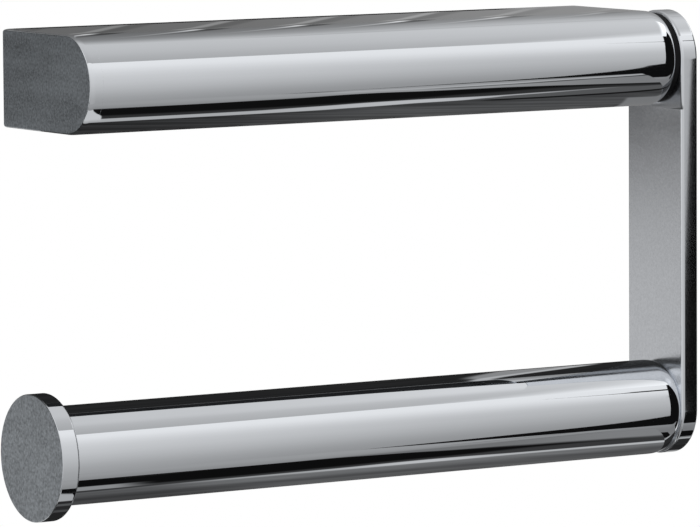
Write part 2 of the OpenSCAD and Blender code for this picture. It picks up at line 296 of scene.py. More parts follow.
# Objects from whole arrays of rings: ring k holds the points (x, y, z) of one closed loop,
# and neighbouring rings are joined by quads. A closed tube of rings joins last to first.
def ringMesh(name, rings, joined=False, sharp=35):
    count, around = rings.shape[:2]
    index = np.arange(count * around).reshape(count, around)
    if joined:
        index = np.vstack([index, index[:1]])
    here, there = index[:-1], index[1:]
    quads = np.stack(
        [here, np.roll(here, -1, 1), np.roll(there, -1, 1), there], -1
    ).reshape(-1, 4)
    mesh = bpy.data.meshes.new(name)
    mesh.from_pydata(rings.reshape(-1, 3).tolist(), [], quads.tolist())
    work = bmesh.new()
    work.from_mesh(mesh)
    bmesh.ops.remove_doubles(work, verts=work.verts, dist=1e-7)
    bmesh.ops.dissolve_degenerate(work, edges=work.edges, dist=1e-8)
    bmesh.ops.recalc_face_normals(work, faces=work.faces)
    work.to_mesh(mesh)
    work.free()
    smooth(mesh, sharp)
    piece = bpy.data.objects.new(name, mesh)
    bpy.context.scene.collection.objects.link(piece)
    return piece


def smooth(mesh, sharp):
    mesh.shade_smooth()
    mesh.set_sharp_from_angle(angle=math.radians(sharp))


# A path through corner points (a, b, reach), as an array of (a, b). Each right-angled
# corner becomes a quarter of an ellipse that reaches along its two sides: the part along
# the first side falls with the sine of the turn, the other rises with its cosine. A point
# holds each flat side just beside the curve.
def softPath(corners, steps=12, hold=0.12 * mm):
    points = [np.array(corner[:2], float) for corner in corners]
    out = [points[0][None, :]]
    turn = np.linspace(0, np.pi / 2, steps + 1)[:, None]
    for before, corner, after, reach in zip(
        points[:-2], points[1:-1], points[2:], [corner[2] for corner in corners[1:-1]]
    ):
        toBefore = (before - corner) / np.linalg.norm(before - corner)
        toAfter = (after - corner) / np.linalg.norm(after - corner)
        first, second = reach if isinstance(reach, tuple) else (reach, reach)
        curve = corner[None, :] if first <= 0 else (
            corner
            + toBefore * first * (1 - np.sin(turn))
            + toAfter * second * (1 - np.cos(turn))
        )
        out += [
            (corner + toBefore * (first + hold))[None, :],
            curve,
            (corner + toAfter * (second + hold))[None, :],
        ]
    out.append(points[-1][None, :])
    return np.vstack(out)


# Rings of a turned piece: each profile point (x, radius) becomes a circle about the X
# axis through (y, z)
def turnedRings(profile, y, z, around=256):
    angle = np.linspace(0, 2 * np.pi, around, endpoint=False)
    x, radius = profile[:, :1], profile[:, 1:]
    return np.stack([
        x + 0 * angle, y + radius * np.cos(angle), z + radius * np.sin(angle)
    ], -1)


# The same about an upright axis through (x, y): each profile point is (z, radius)
def uprightRings(profile, x, y, around=64):
    angle = np.linspace(0, 2 * np.pi, around, endpoint=False)
    z, radius = profile[:, :1], profile[:, 1:]
    return np.stack([
        x + radius * np.cos(angle), y + radius * np.sin(angle), z + 0 * angle
    ], -1)


# Half of the wall bar's section from the wall over the top to the nose and back below,
# inset all round: a corner arc, a flat, a half circle, a flat and a corner arc
def barPath(inset, back, corner, noseSteps=120, flatSteps=6, cornerSteps=5):
    radius = barRadius - inset
    soft = max(corner - inset, 0)
    turn = np.linspace(0, np.pi / 2, cornerSteps)
    cornerY = back - soft + soft * np.cos(turn)
    cornerZ = radius - soft + soft * np.sin(turn)
    share = np.linspace(0, 1, flatSteps + 1)[1:-1]
    flatY = (back - soft) + (axisY - back + soft) * share
    flatZ = np.full_like(flatY, radius)
    nose = np.linspace(np.pi / 2, -np.pi / 2, noseSteps)
    noseY = axisY - radius * np.cos(nose)
    noseZ = radius * np.sin(nose)
    y = np.concatenate([cornerY, flatY, noseY, flatY[::-1], cornerY[::-1]])
    z = np.concatenate([cornerZ, flatZ, noseZ, -flatZ, -cornerZ[::-1]])
    return np.stack([y, z], -1)


# Rings whose loop follows an outline (y, z) that shrinks with the profile's inset
def outlineRings(profile, outline):
    return np.stack([
        np.column_stack([np.full(len(loop), x), loop])
        for x, loop in ((x, outline(inset)) for x, inset in profile)
    ])


# The wall bar's closed outline, and the side strip's: two half circles and two sides
def barOutline(inset, corner=0.8 * mm):
    return barPath(inset, wallPlane - inset, corner)


def stripOutline(inset, steps=96):
    radius = stripRadius - inset
    turn = np.linspace(0, np.pi, steps)
    y = np.concatenate([axisY + radius * np.cos(turn), axisY - radius * np.cos(turn)])
    z = np.concatenate([pivotZ + radius * np.sin(turn), rollZ - radius * np.sin(turn)])
    return np.stack([y, z], -1)


# Cuts closed cutters out of a piece and keeps the result as its mesh
def carve(piece, cutters, sharp=35):
    for cutter in cutters:
        cut = piece.modifiers.new("cut", "BOOLEAN")
        cut.operation = "DIFFERENCE"
        cut.solver = "EXACT"
        cut.object = cutter
    bpy.context.view_layer.update()
    made = bpy.data.meshes.new_from_object(
        piece.evaluated_get(bpy.context.evaluated_depsgraph_get())
    )
    piece.modifiers.clear()
    old = piece.data
    piece.data = made
    made.name = piece.name
    bpy.data.meshes.remove(old)
    for cutter in cutters:
        data = cutter.data
        bpy.data.objects.remove(cutter)
        bpy.data.meshes.remove(data)
    smooth(made, sharp)


def finishPiece(piece, material, body, slot, *nodes):
    piece.data.materials.clear()
    piece.data.materials.append(material)
    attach(piece, body)
    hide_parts(*nodes)


# Polished chrome is a smooth metal with a faint polishing haze. Satin faces have a cloudy
# blasted grain in colour, gloss and relief.
chromeLook = {
    "colour": (0.784, 0.808, 0.842),
    "hazeDark": 0.985,
    "gloss": 0.02,
    "glossRange": 0.010,
    "haze": (60, 60, 60),
    "wiped": (14, 260, 260),
    "faceDepth": (0.04 * mm, 0.02 * mm),
    "patch": (120, 45, 180),
    "grain": (1900, 1900, 1900),
    "grainRange": (0.6, 1.4),
    "grainGloss": 0.10,
    "grainRelief": 0.12,
    "grainDepth": 0.03 * mm,
}
satinLooks = {
    "cap": {"colour": (0.318, 0.346, 0.372), "gloss": 0.28, "cloud": 1.7, "speck": 2.1},
    "disc": {"colour": (0.362, 0.389, 0.415), "gloss": 0.30, "cloud": 0.5, "speck": 2.1},
    "strip": {"colour": (0.79, 0.81, 0.845), "gloss": 0.20, "cloud": 0.2, "speck": 0.35},
}


# A piece is satin on its flat face at the left, and on one at the right where it is given:
# everywhere but between those two places on x
def makeChrome(name, satin=None, leftFace=-1.0, rightFace=1.0):
    look = chromeLook
    material, shader = newMaterial(name)
    haze = shader.noise(look["haze"], detail=4)
    wiped = shader.noise(look["wiped"], detail=2)
    dark, light = shade(look["colour"], look["hazeDark"]), shade(look["colour"], 1.0)
    colour = shader.blend(haze, dark, light)
    gloss = look["gloss"] + look["glossRange"] * (wiped - 0.5)
    settings = {"Metallic": 1.0}
    if satin:
        x = shader.axes()[0]
        clear, full = look["faceDepth"]
        mask = x.rise(leftFace + clear, leftFace + full)
        mask = mask + x.rise(rightFace - clear, rightFace - full)
        patch = shader.noise(look["patch"], detail=5, roughness=0.62)
        speck = shader.noise(look["grain"], detail=2)
        level = 0.5 + satin["cloud"] * (patch - 0.5) + satin["speck"] * (speck - 0.5)
        dark, light = (shade(satin["colour"], share) for share in look["grainRange"])
        colour = shader.blend(mask, colour, shader.blend(level, dark, light))
        change = satin["gloss"] - look["gloss"] + look["grainGloss"] * (patch - 0.5)
        gloss = gloss + mask * change
        relief = {"Strength": look["grainRelief"], "Distance": look["grainDepth"]}
        settings["Normal"] = shader.add(
            "ShaderNodeBump", {}, {**relief, "Height": speck * mask}
        )
    settings["Base Color"] = colour
    settings["Roughness"] = gloss
    shader.output(shader.add("ShaderNodeBsdfPrincipled", {}, settings))
    return material


chrome = makeChrome("chrome_polish")
capMetal = makeChrome("cap_satin", satinLooks["cap"], capLeft)
discMetal = makeChrome("disc_satin", satinLooks["disc"], discOut)
stripMetal = makeChrome("strip_finish", satinLooks["strip"], stripIn, stripOut)
print("polished metals ready")


# The wall bar's shell: its outer path follows a profile of places and insets along X,
# its inner path stays a wall's thickness inside, and four screw holes go through below
shellSet = {
    "wall": 2.0 * mm,
    "corner": 0.8 * mm,
    "seam": 0.008 * mm,
    "endCurve": (2.9 * mm, 0.65 * mm),
    "lockHole": 2.0 * mm,
    "blockStem": 1.5 * mm,
    "overrun": 1.0 * mm,
    "screwGap": 0.05 * mm,
}


def makeShell(settings):
    wall = settings["wall"]
    profile = softPath([
        (shellLeft, wall, 0),
        (shellLeft, 0, settings["seam"]),
        (shellRight, 0, settings["endCurve"]),
        (shellRight, wall, 0),
    ], steps=24, hold=0.06 * mm)
    inner = barPath(wall, wallPlane, settings["corner"])[::-1]
    rings = np.stack([
        np.column_stack([
            np.full(2 * len(inner), x),
            np.vstack([barPath(inset, wallPlane, settings["corner"]), inner]),
        ])
        for x, inset in profile
    ])
    piece = ringMesh("wall_bar_shell", rings)
    carve(piece, shellCutters(settings))
    finishPiece(piece, chrome, "wall_bar", "chrome", "bar_shell")


# Where the two screws of one node stand along an axis, half a screw's width in from both
# ends, and their radius
def screwPlaces(node, axis):
    low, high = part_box(node)
    width = high[1 - axis] - low[1 - axis]
    places = []
    for edge, inward in ((low, 0.5), (high, -0.5)):
        place = [0, 0]
        place[axis] = edge[axis] + inward * width
        place[1 - axis] = middle(node, 1 - axis)
        places.append(place)
    return places, width / 2


# Cutters for the holes below: plain for the lock screws, countersunk for the block's
def shellCutters(settings):
    low = barLow - settings["overrun"]
    high = barLow + settings["wall"] + settings["overrun"]
    lockPlaces = screwPlaces("lock_screws", 0)[0]
    hole = settings["lockHole"]
    plain = [(low, 0), (low, hole), (high, hole), (high, 0)]
    blockPlaces, screwRadius = screwPlaces("block_screws", 1)
    mouth = screwRadius + settings["screwGap"]
    stem = settings["blockStem"] + settings["screwGap"]
    sunk = [
        (low, 0), (low, mouth), (barLow, mouth), (barLow + mouth - stem, stem),
        (high, stem), (high, 0),
    ]
    return [
        ringMesh("cutter", uprightRings(np.array(profile), *place))
        for profile, places in ((plain, lockPlaces), (sunk, blockPlaces))
        for place in places
    ]


# The end cap: a plate with a rounded rim and a hollow spigot, as one closed surface.
# Its profile runs from the middle of the outer face round the plate and the spigot.
capSet = {
    "rim": (0.35 * mm, 1.3 * mm),
    "seam": 0.008 * mm,
    "spigotInset": 2.05 * mm,
    "spigotWall": 1.6 * mm,
    "spigotEdge": 0.3 * mm,
}


def makeCap(settings):
    inset = settings["spigotInset"]
    bore = inset + settings["spigotWall"]
    profile = softPath([
        (capLeft, barRadius, 0),
        (capLeft, 0, settings["rim"]),
        (capRight, 0, settings["seam"]),
        (capRight, inset, 0),
        (spigotRight, inset, settings["spigotEdge"]),
        (spigotRight, bore, settings["spigotEdge"]),
        (capRight, bore, 0),
        (capRight, barRadius, 0),
    ], steps=20, hold=0.06 * mm)
    piece = ringMesh("end_cap_plate", outlineRings(profile, barOutline))
    finishPiece(piece, capMetal, "wall_bar", "satin_end", "end_cap")


# The side strip: a flat bar with round ends and softened edges, with its two seats for
# flat heads and its holes for the axle, the screw and the stop pin
stripSet = {
    "innerEdge": 0.6 * mm,
    "outerEdge": 0.35 * mm,
    "headThick": 1.4 * mm,
    "seatGap": 0.05 * mm,
    "neck": 3.9 * mm,
    "screw": 3.05 * mm,
    "pin": 1.05 * mm,
    "pinDepth": 1.65 * mm,
    "overrun": 1.0 * mm,
}


def makeStrip(settings):
    profile = softPath([
        (stripIn, stripRadius, 0),
        (stripIn, 0, settings["innerEdge"]),
        (stripOut, 0, settings["outerEdge"]),
        (stripOut, stripRadius, 0),
    ])
    piece = ringMesh("side_strip_bar", outlineRings(profile, stripOutline))
    cutters = []
    start, end = stripIn - settings["overrun"], stripOut + settings["overrun"]
    headIn = coverIn - settings["headThick"]
    seat = coverRadius + settings["seatGap"]
    for z, hole in ((pivotZ, settings["neck"]), (rollZ, settings["screw"])):
        path = [
            (start, 0), (start, hole), (headIn, hole), (headIn, seat), (end, seat), (end, 0),
        ]
        cutters.append(ringMesh("cutter", turnedRings(np.array(path), axisY, z)))
    pin, pinEnd = settings["pin"], stripIn + settings["pinDepth"]
    path = np.array([(start, 0), (start, pin), (pinEnd, pin), (pinEnd, 0)])
    pinPlace = middle("stop_pin", 1), middle("stop_pin", 2)
    cutters.append(ringMesh("cutter", turnedRings(path, *pinPlace, 48)))
    carve(piece, cutters)
    finishPiece(piece, stripMetal, "swing_arm", "chrome", "side_strip")


# The roll bar's tube, rounded where it meets the strip and square behind the disc: its
# wall's outline is turned about the bar's axis
tubeSet = {"endCurve": (3.0 * mm, 0.8 * mm), "seam": 0.1 * mm}


def makeTube(settings):
    profile = softPath([
        (tubeLeft, plugRadius, 0),
        (tubeLeft, tubeRadius, settings["seam"]),
        (tubeRight, tubeRadius, settings["endCurve"]),
        (tubeRight, plugRadius, 0),
        (tubeLeft, plugRadius, 0),
    ], steps=24, hold=0.05 * mm)
    piece = ringMesh("roll_bar_tube", turnedRings(profile[:-1], axisY, rollZ), joined=True)
    finishPiece(piece, chrome, "swing_arm", "chrome", "roll_bar")


# The end disc with its softened edges and its stud, turned in one from face to tip
discSet = {"faceEdge": 0.2 * mm, "backEdge": 0.5 * mm, "stud": 3.0 * mm, "studTip": 0.4 * mm}


def makeDisc(settings):
    profile = softPath([
        (discOut, 0, 0),
        (discOut, discRadius, settings["faceEdge"]),
        (tubeLeft, discRadius, settings["backEdge"]),
        (tubeLeft, settings["stud"], 0),
        (studEnd, settings["stud"], settings["studTip"]),
        (studEnd, 0, 0),
    ])
    piece = ringMesh("end_disc_plate", turnedRings(profile, axisY, rollZ))
    finishPiece(piece, discMetal, "swing_arm", "satin_end", "end_disc")


# The two flush covers in the strip's outer face: plain turned discs
coverSet = {"innerEdge": 0.05 * mm, "outerEdge": 0.12 * mm}


def makeCover(settings, name, node, z):
    profile = softPath([
        (coverIn, 0, 0),
        (coverIn, coverRadius, settings["innerEdge"]),
        (coverOut, coverRadius, settings["outerEdge"]),
        (coverOut, 0, 0),
    ], steps=5, hold=0.05 * mm)
    piece = ringMesh(name, turnedRings(profile, axisY, z, 160))
    finishPiece(piece, chrome, "swing_arm", "chrome", node)


# The spacer: a ring of soft matt black plastic with a fine moulded grain
spacerSet = {
    "bore": 3.05 * mm,
    "edge": 0.15 * mm,
    "dark": (0.003, 0.003, 0.0035, 1),
    "light": (0.008, 0.008, 0.009, 1),
    "grain": (700, 700, 700),
    "grainRelief": 0.2,
    "grainDepth": 0.05 * mm,
    "cloud": (90, 90, 90),
    "gloss": 0.50,
    "glossRange": 0.16,
    "shine": 0.15,
}


def makeMattBlack(settings):
    material, shader = newMaterial("spacer_black")
    grain = shader.noise(settings["grain"], detail=3)
    cloud = shader.noise(settings["cloud"], detail=3)
    relief = {"Strength": settings["grainRelief"], "Distance": settings["grainDepth"]}
    shader.output(shader.add("ShaderNodeBsdfPrincipled", {}, {
        "Base Color": shader.blend(cloud, settings["dark"], settings["light"]),
        "Roughness": settings["gloss"] + settings["glossRange"] * cloud,
        "Specular IOR Level": settings["shine"],
        "Normal": shader.add("ShaderNodeBump", {}, {**relief, "Height": grain}),
    }))
    return material


def makeSpacer(settings):
    bore, edge = settings["bore"], settings["edge"]
    profile = softPath([
        (spacerLeft, bore, 0),
        (spacerLeft, spacerRadius, edge),
        (spacerRight, spacerRadius, edge),
        (spacerRight, bore, 0),
        (spacerLeft, bore, 0),
    ], steps=5)
    rings = turnedRings(profile[:-1], axisY, pivotZ, 200)
    piece = ringMesh("spacer_ring", rings, joined=True)
    finishPiece(piece, makeMattBlack(settings), "swing_arm", "black_spacer", "spacer_washer")


makeShell(shellSet)
makeCap(capSet)
makeStrip(stripSet)
makeTube(tubeSet)
makeDisc(discSet)
makeCover(coverSet, "axle_cover_disc", "axle_cover", pivotZ)
makeCover(coverSet, "screw_cover_disc", "screw_cover", rollZ)
makeSpacer(spacerSet)
print("polished pieces built")


# The inner pieces keep their CAD meshes. Each finish has a colour, a mottling of it, and
# tool marks: a noise stretched by its own scale on each axis, for gloss and relief. The
# colour darkens by the mottling's share where the cloud and the marks are low.
innerRanges = {
    "cloudShare": 0.7,
    "marksShare": 0.3,
    "light": 1.04,
    "cloudGloss": 0.12,
    "marksGloss": 0.10,
    "marksDepth": 0.06 * mm,
}
innerLooks = {
    "zinc_plate": {
        "nodes": ["wall_rail"],
        "colour": (0.62, 0.64, 0.66), "metal": 1.0, "gloss": 0.38, "mottle": 0.22,
        "cloud": (90, 90, 90), "marks": (30, 500, 500), "relief": 0.15,
    },
    "machined_block": {
        "nodes": ["pivot_block"],
        "colour": (0.66, 0.66, 0.67), "metal": 1.0, "gloss": 0.30, "mottle": 0.12,
        "cloud": (60, 60, 60), "marks": (900, 60, 900), "relief": 0.25,
    },
    "turned_steel": {
        "nodes": ["pivot_axle", "stop_pin", "thrust_washer", "wave_washer", "bar_screw"],
        "colour": (0.55, 0.56, 0.58), "metal": 1.0, "gloss": 0.24, "mottle": 0.15,
        "cloud": (150, 150, 150), "marks": (2600, 90, 90), "relief": 0.2,
    },
    "black_steel": {
        "nodes": ["lock_screws", "block_screws"],
        "colour": (0.20, 0.205, 0.215), "metal": 1.0, "gloss": 0.33, "mottle": 0.25,
        "cloud": (260, 260, 260), "marks": (300, 300, 2600), "relief": 0.2,
    },
    "nut_steel": {
        "nodes": ["lock_nut"],
        "colour": (0.60, 0.61, 0.62), "metal": 1.0, "gloss": 0.28, "mottle": 0.18,
        "cloud": (200, 200, 200), "marks": (120, 1600, 1600), "relief": 0.2,
    },
    "bush_nylon": {
        "nodes": ["outer_bush", "inner_bush", "nut_ring"],
        "colour": (0.85, 0.83, 0.78), "metal": 0.0, "gloss": 0.45, "mottle": 0.06,
        "cloud": (130, 130, 130), "marks": (900, 200, 200), "relief": 0.1,
    },
    "turned_brass": {
        "nodes": ["strip_plug", "disc_plug"],
        "colour": (0.78, 0.62, 0.30), "metal": 1.0, "gloss": 0.26, "mottle": 0.14,
        "cloud": (140, 140, 140), "marks": (2200, 80, 80), "relief": 0.2,
    },
}


def makeInner(name, look):
    ranges = innerRanges
    material, shader = newMaterial(name)
    cloud = shader.noise(look["cloud"], detail=5, roughness=0.6)
    marks = shader.noise(look["marks"], detail=2)
    mixed = cloud * ranges["cloudShare"] + marks * ranges["marksShare"]
    dark = shade(look["colour"], 1 - look["mottle"])
    light = shade(look["colour"], ranges["light"])
    gloss = ranges["cloudGloss"] * (cloud - 0.5) + ranges["marksGloss"] * (marks - 0.5)
    relief = {"Strength": look["relief"], "Distance": ranges["marksDepth"], "Height": marks}
    shader.output(shader.add("ShaderNodeBsdfPrincipled", {}, {
        "Base Color": shader.blend(mixed, dark, light),
        "Metallic": look["metal"],
        "Roughness": look["gloss"] + gloss,
        "Normal": shader.add("ShaderNodeBump", {}, relief),
    }))
    for node in look["nodes"]:
        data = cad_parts[node].data
        data.materials.clear()
        data.materials.append(material)


for finishName, finishLook in innerLooks.items():
    makeInner(finishName, finishLook)
print("inner finishes set")

# The studio: glowing cards that only mirror-like surfaces see, painted with the reflections
# that the metal shows. Far in front hangs a large soft panel, with a light card at its left,
# a dark one at its right and a grey sheet below it. Above is a pale roof, below a floor of
# dark and light cloths, far behind a rear wall, and more cards stand at both sides. Three
# small cards hang close to the bars and carry painted reflections laid out by the bars' own
# rays: a low screen behind the upper one, and a level card below each. Lengths are in
# metres, and greys are those that polished metal shows, 0 to 255.
studio = {
    "front": -0.65,
    "rear": 0.3,
    "side": 1.3,
    "floor": -0.92,
    "top": 1.1,
    "mirror": 0.81,
}


# The glow that polished metal shows as a grey: the grey's share of 255 as linear light,
# over the share of light that the metal mirrors
def tone(grey):
    return ((grey / 255 + 0.055) / 1.055) ** 2.4 / studio["mirror"]


# A grid of points as a mesh that only stages the holder
def gridMesh(name, points, material):
    rows, columns = points.shape[:2]
    index = np.arange(rows * columns).reshape(rows, columns)
    quads = np.stack(
        [index[:-1, :-1], index[:-1, 1:], index[1:, 1:], index[1:, :-1]], -1
    ).reshape(-1, 4)
    mesh = bpy.data.meshes.new(name)
    mesh.from_pydata(points.reshape(-1, 3).tolist(), [], quads.tolist())
    mesh.materials.append(material)
    sheet = bpy.data.objects.new(name, mesh)
    bpy.context.scene.collection.objects.link(sheet)
    return sheet


# A card that only mirror-like surfaces see
def gridCard(name, points, material):
    card = gridMesh(name, points, material)
    card.visible_camera = False
    card.visible_diffuse = False
    card.visible_transmission = False
    card.visible_shadow = False
    card.visible_volume_scatter = False


# A flat card between two values of each of two axes, at one value of the third
def flatCard(name, paint, x, y, z):
    spans = [np.array(value, float).reshape(-1) for value in (x, y, z)]
    grid = np.stack(np.meshgrid(*spans, indexing="ij"), -1)
    rows, columns = [size for size in grid.shape[:3] if size > 1]
    gridCard(name, grid.reshape(rows, columns, 3), glow(name, paint))


# A glowing material. Its paint is a grey, or a function that gives a grey and, for a card
# with clear parts, how far it covers.
def glow(name, paint):
    material, shader = newMaterial(name)
    grey = paint(shader) if callable(paint) else paint
    grey, cover = grey if isinstance(grey, tuple) else (grey, None)
    level = tone(grey)
    colour = level if isinstance(level, Signal) else shade((level, level, level), 1)
    surface = shader.add("ShaderNodeEmission", {}, {"Color": colour, "Strength": 1.0})
    if cover is not None:
        clear = shader.add("ShaderNodeBsdfTransparent")
        surface = shader.add("ShaderNodeMixShader", {}, {0: cover, 1: clear, 2: surface})
    shader.output(surface)
    material.cycles.emission_sampling = "NONE"
    return material


# The panel in front. Its edge is a list of (height, place), and the short bar across that
# edge a list of (place, height, thickness).
panelSet = {
    "foot": -0.540,
    "edge": [
        (-0.54, 0.470), (-0.52, 0.485), (-0.50, 0.494), (-0.46, 0.508), (-0.41, 0.521),
        (-0.37, 0.524), (-0.30, 0.520), (-0.25, 0.516), (-0.20, 0.510), (-0.165, 0.5045),
        (-0.05, 0.5075), (0.05, 0.513), (0.14, 0.525), (0.22, 0.541), (0.28, 0.560),
        (0.36, 0.596), (0.44, 0.632), (0.50, 0.662), (0.563, 0.690), (0.65, 0.735),
        (0.733, 0.780), (0.83, 0.832), (1.1, 1.0),
    ],
    "byHeight": [
        (-0.54, 151), (-0.45, 152), (-0.33, 156), (-0.22, 164), (-0.13, 172), (-0.043, 179),
        (0.045, 186), (0.13, 191), (0.224, 199), (0.33, 210), (0.45, 220), (0.55, 226),
        (0.70, 228), (1.1, 229),
    ],
    "bySide": [(0.0, 11), (0.28, 8), (0.335, 5), (0.385, 1), (0.43, -3), (0.52, -6)],
    "sideFade": (0.45, 0.10),
    "flagRight": 14,
    "flagLeft": 196,
    "bar": [
        (0.626, 0.576, 0.006), (0.634, 0.556, 0.018), (0.645, 0.538, 0.030),
        (0.660, 0.536, 0.042), (0.668, 0.556, 0.050), (0.72, 0.562, 0.056),
    ],
    "barForward": 0.004,
}


# The panel grows brighter with height, and darker to its side in the lower part
def panelPaint(shader):
    x, y, z = shader.axes()
    bySide = shader.along(abs(x), panelSet["bySide"])
    return shader.along(z, panelSet["byHeight"]) + bySide * z.rise(*panelSet["sideFade"])


# The panel and the flags beside it, in rows from edge to edge, and the bar
def makePanel():
    z = np.linspace(panelSet["foot"], studio["top"], 110)[:, None]
    edge = np.interp(z, *np.array(panelSet["edge"]).T)
    front, side = studio["front"], studio["side"]
    for name, paint, start, end in (
        ("panel", panelPaint, -edge, edge),
        ("flag_right", panelSet["flagRight"], edge, side),
        ("flag_left", panelSet["flagLeft"], -side, -edge),
    ):
        x = start + (end - start) * np.linspace(0, 1, 5)[None, :]
        points = np.stack([x, np.full_like(x, front), z + 0 * x], -1)
        gridCard(name, points, glow(name, paint))
    x, height, thick = np.array(panelSet["bar"]).T[:, :, None]
    z = height + thick * np.array([[-0.5, 0.5]])
    points = np.stack([x + 0 * z, np.full_like(z, front + panelSet["barForward"]), z], -1)
    gridCard("panel_bar", points, glow("panel_bar", panelSet["flagRight"]))


# The roof is flat in the middle and rises to both sides. It grows brighter to the rear,
# and much brighter to its sides.
roofSet = {
    "places": (-1.3, -0.40, 0.40, 1.3),
    "heights": (1.07, 0.753, 0.753, 1.07),
    "byDepth": [
        (-0.65, 170), (-0.50, 176), (-0.37, 182), (-0.24, 189), (-0.12, 193), (0.0, 196),
        (0.3, 197),
    ],
    "bySide": [(0.40, -5), (0.54, 0), (0.66, 5), (0.70, 12), (0.76, 40), (0.86, 75)],
}


def roofPaint(shader):
    x, y, z = shader.axes()
    return shader.along(y, roofSet["byDepth"]) + shader.along(abs(x), roofSet["bySide"])


def makeRoof():
    x, z = (np.array(roofSet[key])[:, None] for key in ("places", "heights"))
    y = np.array([[studio["front"], studio["rear"]]])
    gridCard("roof", np.stack([x + 0 * y, y + 0 * x, z + 0 * y], -1), glow("roof", roofPaint))


# The floor: light in the middle, a black cloth from its slanting edge outwards, a grey
# corner beyond the cloth, a light strip near the object and dark ground behind. The strip
# bends forward beyond a place on x.
clothSet = {
    "light": 163, "black": 13, "strip": 165, "corner": 118,
    "ground": 30, "ripple": 20, "rearPatch": 30,
    "blackEdge": 0.415,
    "blackSlant": 0.10,
    "cornerEdge": 0.66,
    "cornerSlope": 2.3,
    "stripPlace": -0.03,
    "stripHalf": 0.042,
    "bendFrom": 0.44,
    "bend": 0.36,
}


def floorPaint(shader):
    look = clothSet
    x, y, z = shader.axes()
    x = abs(x)
    blackEdge = look["blackEdge"] - look["blackSlant"] * (y + 0.2)
    black = (x - blackEdge).rise(-0.006, 0.006) * y.rise(-0.18, -0.20)
    cornerEdge = studio["front"] + look["cornerSlope"] * (x - look["cornerEdge"])
    corner = (y - cornerEdge).rise(0.015, -0.015) * y.rise(-0.15, -0.20)
    stripPlace = look["stripPlace"] - look["bend"] * (x - look["bendFrom"]).larger(0.0)
    strip = (y - stripPlace).window(-look["stripHalf"], look["stripHalf"], 0.03)
    strip = strip * (0.35 + 0.65 * x.rise(0.42, 0.50))
    grey = look["ground"] + look["ripple"] * shader.noise((9, 40, 1), detail=3)
    grey = grey + look["rearPatch"] * y.rise(0.14, 0.22) * x.rise(0.55, 0.40)
    grey = grey.painted(y.rise(-0.15, -0.19), look["light"])
    grey = grey.painted(black, look["black"]).painted(strip, look["strip"])
    return grey.painted(corner, look["corner"])


# The sheet below the panel is darker at its foot and its sides. It has two dark folds, a
# leaning one above and an upright one below, and its black top hangs lower outwards.
sheetSet = {
    "grey": 151,
    "black": 14,
    "footFall": 12,
    "sideFall": 18,
    "foldFall": (42, 38),
    "innerFold": 0.588,
    "innerLean": 0.11,
    "outerFold": 0.648,
    "foot": [(0.46, -0.536), (0.4975, -0.560), (0.55, -0.585), (0.614, -0.609), (0.9, -0.68)],
}


def sheetPaint(shader):
    look = sheetSet
    x, y, z = shader.axes()
    x = abs(x)
    innerFold = look["innerFold"] + look["innerLean"] * (z + 0.58)
    inner = (x - innerFold).window(-0.005, 0.005, 0.005) * z.rise(-0.72, -0.68)
    outer = (x - look["outerFold"]).window(-0.004, 0.004, 0.004) * z.rise(-0.68, -0.72)
    fall = look["footFall"] * z.rise(-0.60, -0.85) + look["sideFall"] * x.rise(0.56, 0.66)
    fall = fall + look["foldFall"][0] * inner + look["foldFall"][1] * outer
    foot = shader.along(x, look["foot"])
    return (look["grey"] - fall).painted((z - foot).rise(-0.004, 0.004), look["black"])


# The rear wall: at the left light below and dark above, at the right dark, with a light
# patch below and one light field with a bright rim. Where the side strip's inner face
# mirrors it, the dark upper part is painted shade under the wall bar. Each edge of the field
# stands at a place, plus a share of the height, plus a share of the height's square.
rearSet = {
    "stripShadeByHeight": [
        (-0.12, 178), (-0.085, 175), (-0.067, 166), (-0.057, 146), (-0.048, 98),
        (-0.035, 70), (-0.01, 58),
    ],
    "dark": 22, "cloud": 24, "patch": 115, "field": 126, "fieldCloud": 16,
    "rim": 172, "far": 160,
    "fieldLeft": (0.248, 0.10, 0.68),
    "fieldRight": (0.283, 0.10, 0.49),
}


def rearPaint(shader):
    look = rearSet
    x, y, z = shader.axes()
    cloudy = shader.noise((30, 30, 8), detail=3)
    endSide = 40 + 108 * z.rise(0.05, -0.02) + 14 * z.rise(-0.06, -0.12)
    # Where the strip mirrors the wall: painted shade that darkens it towards the wall bar's
    # height
    left = endSide.painted(x.rise(-0.215, -0.185), shader.along(z, look["stripShadeByHeight"]))
    pastLeft, pastRight = (
        x - place - lean * z - bend * z * z
        for place, lean, bend in (look["fieldLeft"], look["fieldRight"])
    )
    field = pastLeft.rise(-0.004, 0.004) * pastRight.rise(0.004, -0.004) * z.rise(-0.02, 0.01)
    rim = pastRight.window(-0.010, 0.0, 0.006) * z.rise(0.02, 0.05)
    far = x.rise(0.53, 0.62) * z.rise(-0.25, -0.15)
    patch = z.window(-0.34, -0.10, 0.12) * x.rise(0.17, 0.30)
    right = look["dark"] + look["cloud"] * cloudy + look["patch"] * patch
    right = right.painted(field, look["field"] + look["fieldCloud"] * cloudy)
    right = right.painted(rim, look["rim"]).painted(far, look["far"])
    return right.painted(x.rise(0.10, 0.02), left)


# The sides: at the right a dark, a bright and a graded card from front to rear, at the
# left one plain card. The graded one grows brighter with height.
sideSet = {
    "steps": (-0.26, -0.11),
    "dark": 18,
    "bright": 235,
    "left": 205,
    "byHeight": [(-0.92, 110), (-0.3, 150), (0.0, 182), (0.3, 212), (1.1, 232)],
}


def sidePaint(shader):
    return shader.along(shader.axes()[2], sideSet["byHeight"])


def makeSides(height):
    front, side, rear = studio["front"], studio["side"], studio["rear"]
    first, second = sideSet["steps"]
    flatCard("flag_side", sideSet["dark"], side, (front, first), height)
    flatCard("flag_side", sideSet["bright"], side, (first, second), height)
    flatCard("flag_side", sidePaint, side, (second, rear), height)
    flatCard("flag_side", sideSet["left"], -side, (front, rear), height)
